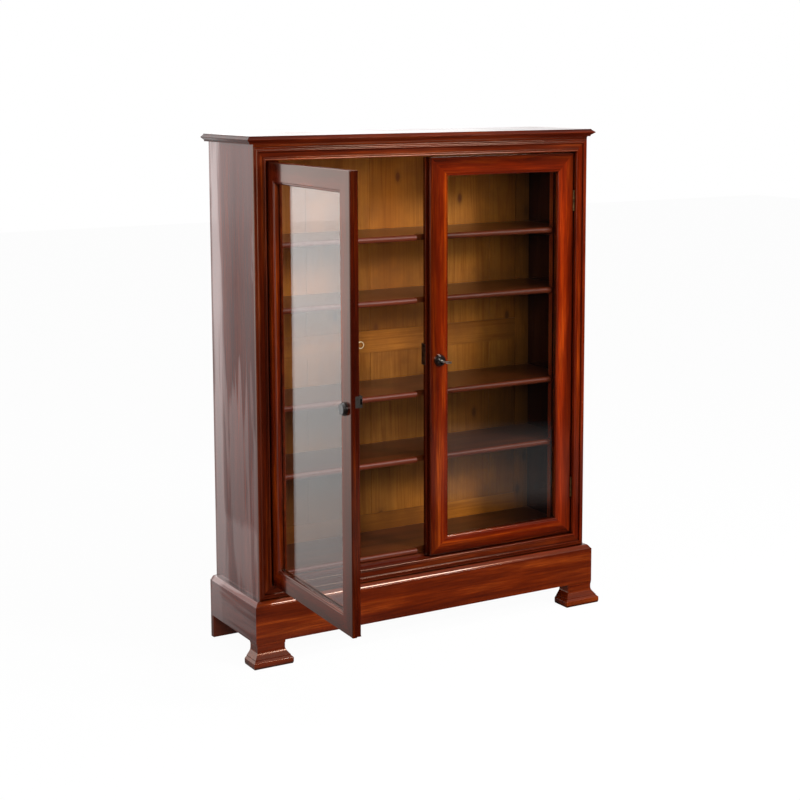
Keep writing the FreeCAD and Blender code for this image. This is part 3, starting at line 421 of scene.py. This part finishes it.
def knots(g, axis, seed):
    """Distance to the nearest knot, in the plane of the back."""
    scale = tuple(2.4 if letter == axis else 4.6 for letter in "XYZ")
    where = g.split(g.place(scale, (seed * 3.0, seed, seed * 2.0)))
    flat = g.add("ShaderNodeCombineXYZ")
    g.link(where["X"], flat.inputs["X"])
    g.link(where["Z"], flat.inputs["Y"])
    node = g.add("ShaderNodeTexVoronoi", feature="F1", voronoi_dimensions="2D")
    g.link(flat.outputs["Vector"], node.inputs["Vector"])
    node.inputs["Scale"].default_value = 1.0
    return node.outputs["Distance"]


def inside_shade(g):
    """Painted shade: the inside of the back is darker towards the floor and the right."""
    by_height = g.ramp(g.slope("Z", *BACK_HEIGHT), BACK_BY_HEIGHT)
    by_width = g.ramp(g.slope("X", *BACK_WIDTH), BACK_BY_WIDTH)
    left = g.ramp(g.slope("X", *BACK_WIDTH), LOW_BY_WIDTH)
    low = g.ramp(g.slope("Z", *BACK_HEIGHT), LOW_BY_HEIGHT)
    return g.multiply(g.multiply(by_height, by_width), g.mix(low, WHITE, left))


def pine(node, seed):
    """Old waxed pine boards with growth rings, a few knots and stains. Only the face that
    looks into the bookcase has its painted shade."""
    g = new_material("pine_" + node)
    axis = PINE[node]
    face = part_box(node)[0].y
    dark, mid, light = PINE_WOOD
    rings = g.grain(axis, (0.8, 17.0), (seed, seed * 0.4, seed * 1.3), 2.0, 0.5, 1.0)
    stripes = g.math("SINE", g.math("MULTIPLY", rings, 34.0))
    fibre = g.grain(axis, (6.0, 300.0), (seed, 0.0, 0.0), 4.0, 0.65)
    board = g.grain(axis, (0.15, 7.0), (seed * 2.0, 3.0, 0.0), 1.0, 0.4)
    stain = g.cloud(2.6, (seed, 5.0, 0.0), 5.0, 0.65)
    base = g.ramp(board, ((0.30, mid), (0.70, light)))
    base = g.stain(base, stripes, ((0.0, 0.0), (0.7, 0.10), (1.0, 0.42)), dark)
    base = g.stain(base, fibre, ((0.36, 0.45), (0.62, 0.0)), dark)
    base = g.stain(base, knots(g, axis, seed),
                   ((0.0, 0.95), (0.030, 0.75), (0.040, 0.30), (0.075, 0.0)), PINE_KNOT)
    base = g.stain(base, stain, ((0.36, 0.75), (0.60, 0.0)), PINE_STAIN)
    # painted shade of the shelves and sides on the inner face of the back
    behind = g.slope("Y", face + INNER_FACE[0], face + INNER_FACE[1])
    base = g.stain(base, behind, ((0.0, 1.0), (1.0, 0.0)), g.multiply(base, inside_shade(g)))
    return g.surface(Base_Color=base, Roughness=0.46, IOR=1.45, Specular_IOR_Level=0.12,
                     Normal=g.bump(fibre, 0.18, 0.0015))


def shelf_wood(node, seed):
    """Brown stained board with a worn satin top and a redder, duller front edge."""
    g = new_material("board_" + node)
    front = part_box(node)[0].y
    dark, mid, light = SHELF_WOOD
    figure = g.grain("X", (1.4, 26.0), (seed, seed, 0.0), 5.0, 0.6, 0.6)
    fibre = g.grain("X", (7.0, 380.0), (0.0, seed, seed), 3.0, 0.6)
    edge = g.slope("Y", front + EDGE_FACE[0], front + EDGE_FACE[1])
    base = g.ramp(figure, ((0.32, dark), (0.55, mid), (0.75, light)))
    base = g.mix(edge, base, SHELF_EDGE)
    base = g.stain(base, fibre, ((0.42, 0.5), (0.64, 0.0)), dark)
    return g.surface(
        Base_Color=base, Roughness=g.ramp(edge, ((0.0, 0.28), (1.0, 0.40))), IOR=1.5,
        Specular_IOR_Level=0.22, Coat_Weight=g.ramp(edge, ((0.0, 0.34), (1.0, 0.0))),
        Coat_Roughness=0.16, Normal=g.bump(fibre, 0.15, 0.001))


# --------------------------------------------------------- glass and metals

def window_glass():
    """Thin old pane: clear, with a slight waviness in what it mirrors."""
    g = new_material("window_glass")
    wave = g.noise(g.place((5.0, 5.0, 2.2)), 2.0, 0.4)
    normal = g.bump(wave, 0.05, 0.003)
    clear = g.shader("ShaderNodeBsdfTransparent", Color=(0.94, 0.95, 0.94))
    gloss = g.shader("ShaderNodeBsdfGlossy", Color=WHITE, Roughness=0.02, Normal=normal)
    facing = g.add("ShaderNodeLayerWeight")
    facing.inputs["Blend"].default_value = 0.5
    g.link(normal, facing.inputs["Normal"])
    return g.show(g.blend(g.ramp(facing.outputs["Facing"], PANE_MIRROR), clear, gloss))


def ebonised():
    """Black polished wood with a faint grain."""
    g = new_material("ebonised")
    fibre = g.noise(g.place((60.0, 240.0, 240.0)), 3.0, 0.55)
    base = g.ramp(fibre, ((0.35, (0.004, 0.003, 0.003)), (0.7, (0.014, 0.009, 0.007))))
    return g.surface(Base_Color=base, Roughness=0.18, IOR=1.5, Coat_Weight=0.5,
                     Coat_Roughness=0.06, Coat_IOR=1.5)


def metal(name, colour, tarnish, rough):
    """Metal with cloudy tarnish."""
    g = new_material(name)
    cloud = g.cloud(55.0, (0, 0, 0), 5.0, 0.6)
    base = g.mix(g.ramp(cloud, ((0.38, 0.0), (0.66, 0.9))), colour, tarnish)
    roughness = g.ramp(cloud, ((0.35, rough * 0.8), (0.7, rough * 1.6)))
    return g.surface(Base_Color=base, Metallic=1.0, Roughness=roughness,
                     Normal=g.bump(cloud, 0.08, 0.0004))


# ----------------------------------------------------------------- painting

def paint(node, material):
    mesh = NODES[node].data
    mesh.materials.clear()
    mesh.materials.append(material)


# nodes, step from one node's seed to the next, and what makes the material of a node
FIRST_SEED = 1.0
WOODWORK = (
    (MAHOGANY, 3.7, case_mahogany), (DOOR_FRAMES, 3.1, door_mahogany),
    (PANELS, 1.7, panel_mahogany), (PINE, 2.3, pine), (SHELVES, 1.9, shelf_wood),
)


def paint_nodes():
    seed = FIRST_SEED
    for nodes, step, make in WOODWORK:
        for node in nodes:
            paint(node, make(node, seed))
            seed += step
    for nodes, material in ((GLASS, window_glass()), (EBONISED, ebonised())):
        for node in nodes:
            paint(node, material)
    for name, (colour, tarnish, rough, nodes) in METALS.items():
        material = metal(name, colour, tarnish, rough)
        for node in nodes:
            paint(node, material)


# ------------------------------------------------------------------- studio

def camera_axes():
    """Unit vectors to the right, up and ahead."""
    yaw, pitch, roll = (math.radians(a) for a in (CAM_YAW, CAM_PITCH, CAM_ROLL))
    ahead = Vector((-math.sin(yaw) * math.cos(pitch), math.cos(yaw) * math.cos(pitch),
                    math.sin(pitch)))
    level = Vector((math.cos(yaw), math.sin(yaw), 0.0))
    upright = level.cross(ahead)
    right = math.cos(roll) * level + math.sin(roll) * upright
    up = math.cos(roll) * upright - math.sin(roll) * level
    return right, up, ahead


def add_to_scene(thing):
    bpy.context.scene.collection.objects.link(thing)


def make_camera():
    right, up, ahead = camera_axes()
    data = bpy.data.cameras.new("camera")
    data.sensor_width = SENSOR_MM
    data.lens = FOCAL * SENSOR_MM
    data.shift_y = SHIFT_Y
    data.clip_end = CLIP_END
    camera = bpy.data.objects.new("camera", data)
    rows = [[right[i], up[i], -ahead[i]] for i in range(3)]
    place = CAM_FROM_FRONT + Vector((0.0, FRONT, 0.0))
    camera.matrix_world = Matrix.Translation(place) @ Matrix(rows).to_4x4()
    add_to_scene(camera)
    bpy.context.scene.camera = camera


def floor_white():
    """Matt white floor. The camera sees it nearly white with its shadows kept, and glossy
    surfaces see it bright behind the bookcase and dark in front."""
    g = new_material("floor_white")
    path = g.add("ShaderNodeLightPath").outputs
    seen = g.math("ADD", path["Is Camera Ray"], path["Is Transmission Ray"], True)
    matt = g.shader("ShaderNodeBsdfDiffuse", Color=FLOOR_GREY)
    glow = g.shader("ShaderNodeEmission", Color=WHITE)
    white = g.blend(g.math("MULTIPLY", seen, FLOOR_WHITE), matt, glow)
    where = g.ranged(g.toward(g.coords(), WALL_SIDE), *FLOOR_SPAN)
    mirrored = g.shader("ShaderNodeEmission", Color=g.ramp(where, FLOOR_MIRRORED),
                        Strength=MIRRORED_LEVEL)
    return g.show(g.blend(path["Is Glossy Ray"], white, mirrored))


def make_floor():
    mesh = bpy.data.meshes.new("floor")
    s = FLOOR_HALF
    mesh.from_pydata([(-s, -s, 0), (s, -s, 0), (s, s, 0), (-s, s, 0)], [], [(0, 1, 2, 3)])
    mesh.materials.append(floor_white())
    floor = bpy.data.objects.new("floor", mesh)
    add_to_scene(floor)


def make_world():
    """White to the camera, an even soft light, and in reflections bright walls to the left
    and behind under a grey ceiling."""
    g = Graph(bpy.data.worlds.new("studio"), "ShaderNodeOutputWorld")
    ray = g.coords("Generated")
    walls = g.ramp(g.ranged(g.toward(ray, WALL_SIDE), -1.0, 1.0),
                   [(0.5 + 0.5 * cosine, level) for cosine, level in WALLS])
    room = g.mix(1.0, walls, g.ramp(g.split(ray)["Z"], CEILING), "ADD")
    mirrored = g.shader("ShaderNodeBackground", Color=room, Strength=MIRRORED_LEVEL)
    soft = g.shader("ShaderNodeBackground", Color=WHITE, Strength=SOFT_LEVEL)
    white = g.shader("ShaderNodeBackground", Color=WHITE, Strength=1.0)
    path = g.add("ShaderNodeLightPath").outputs
    glossy = g.blend(path["Is Glossy Ray"], soft, mirrored)
    bpy.context.scene.world = g.show(g.blend(path["Is Camera Ray"], glossy, white))


def make_lamps():
    for name, place, target, size, power in LAMPS:
        data = bpy.data.lights.new(name, "AREA")
        data.shape = "RECTANGLE"
        data.size, data.size_y = size
        data.energy = power
        lamp = bpy.data.objects.new(name, data)
        lamp.location = place
        aim = Vector(target) - Vector(place)
        lamp.rotation_euler = aim.to_track_quat("-Z", "Y").to_euler()
        add_to_scene(lamp)


make_camera()
make_floor()
make_world()
make_lamps()
paint_nodes()
bpy.context.scene.view_settings.view_transform = "Standard"
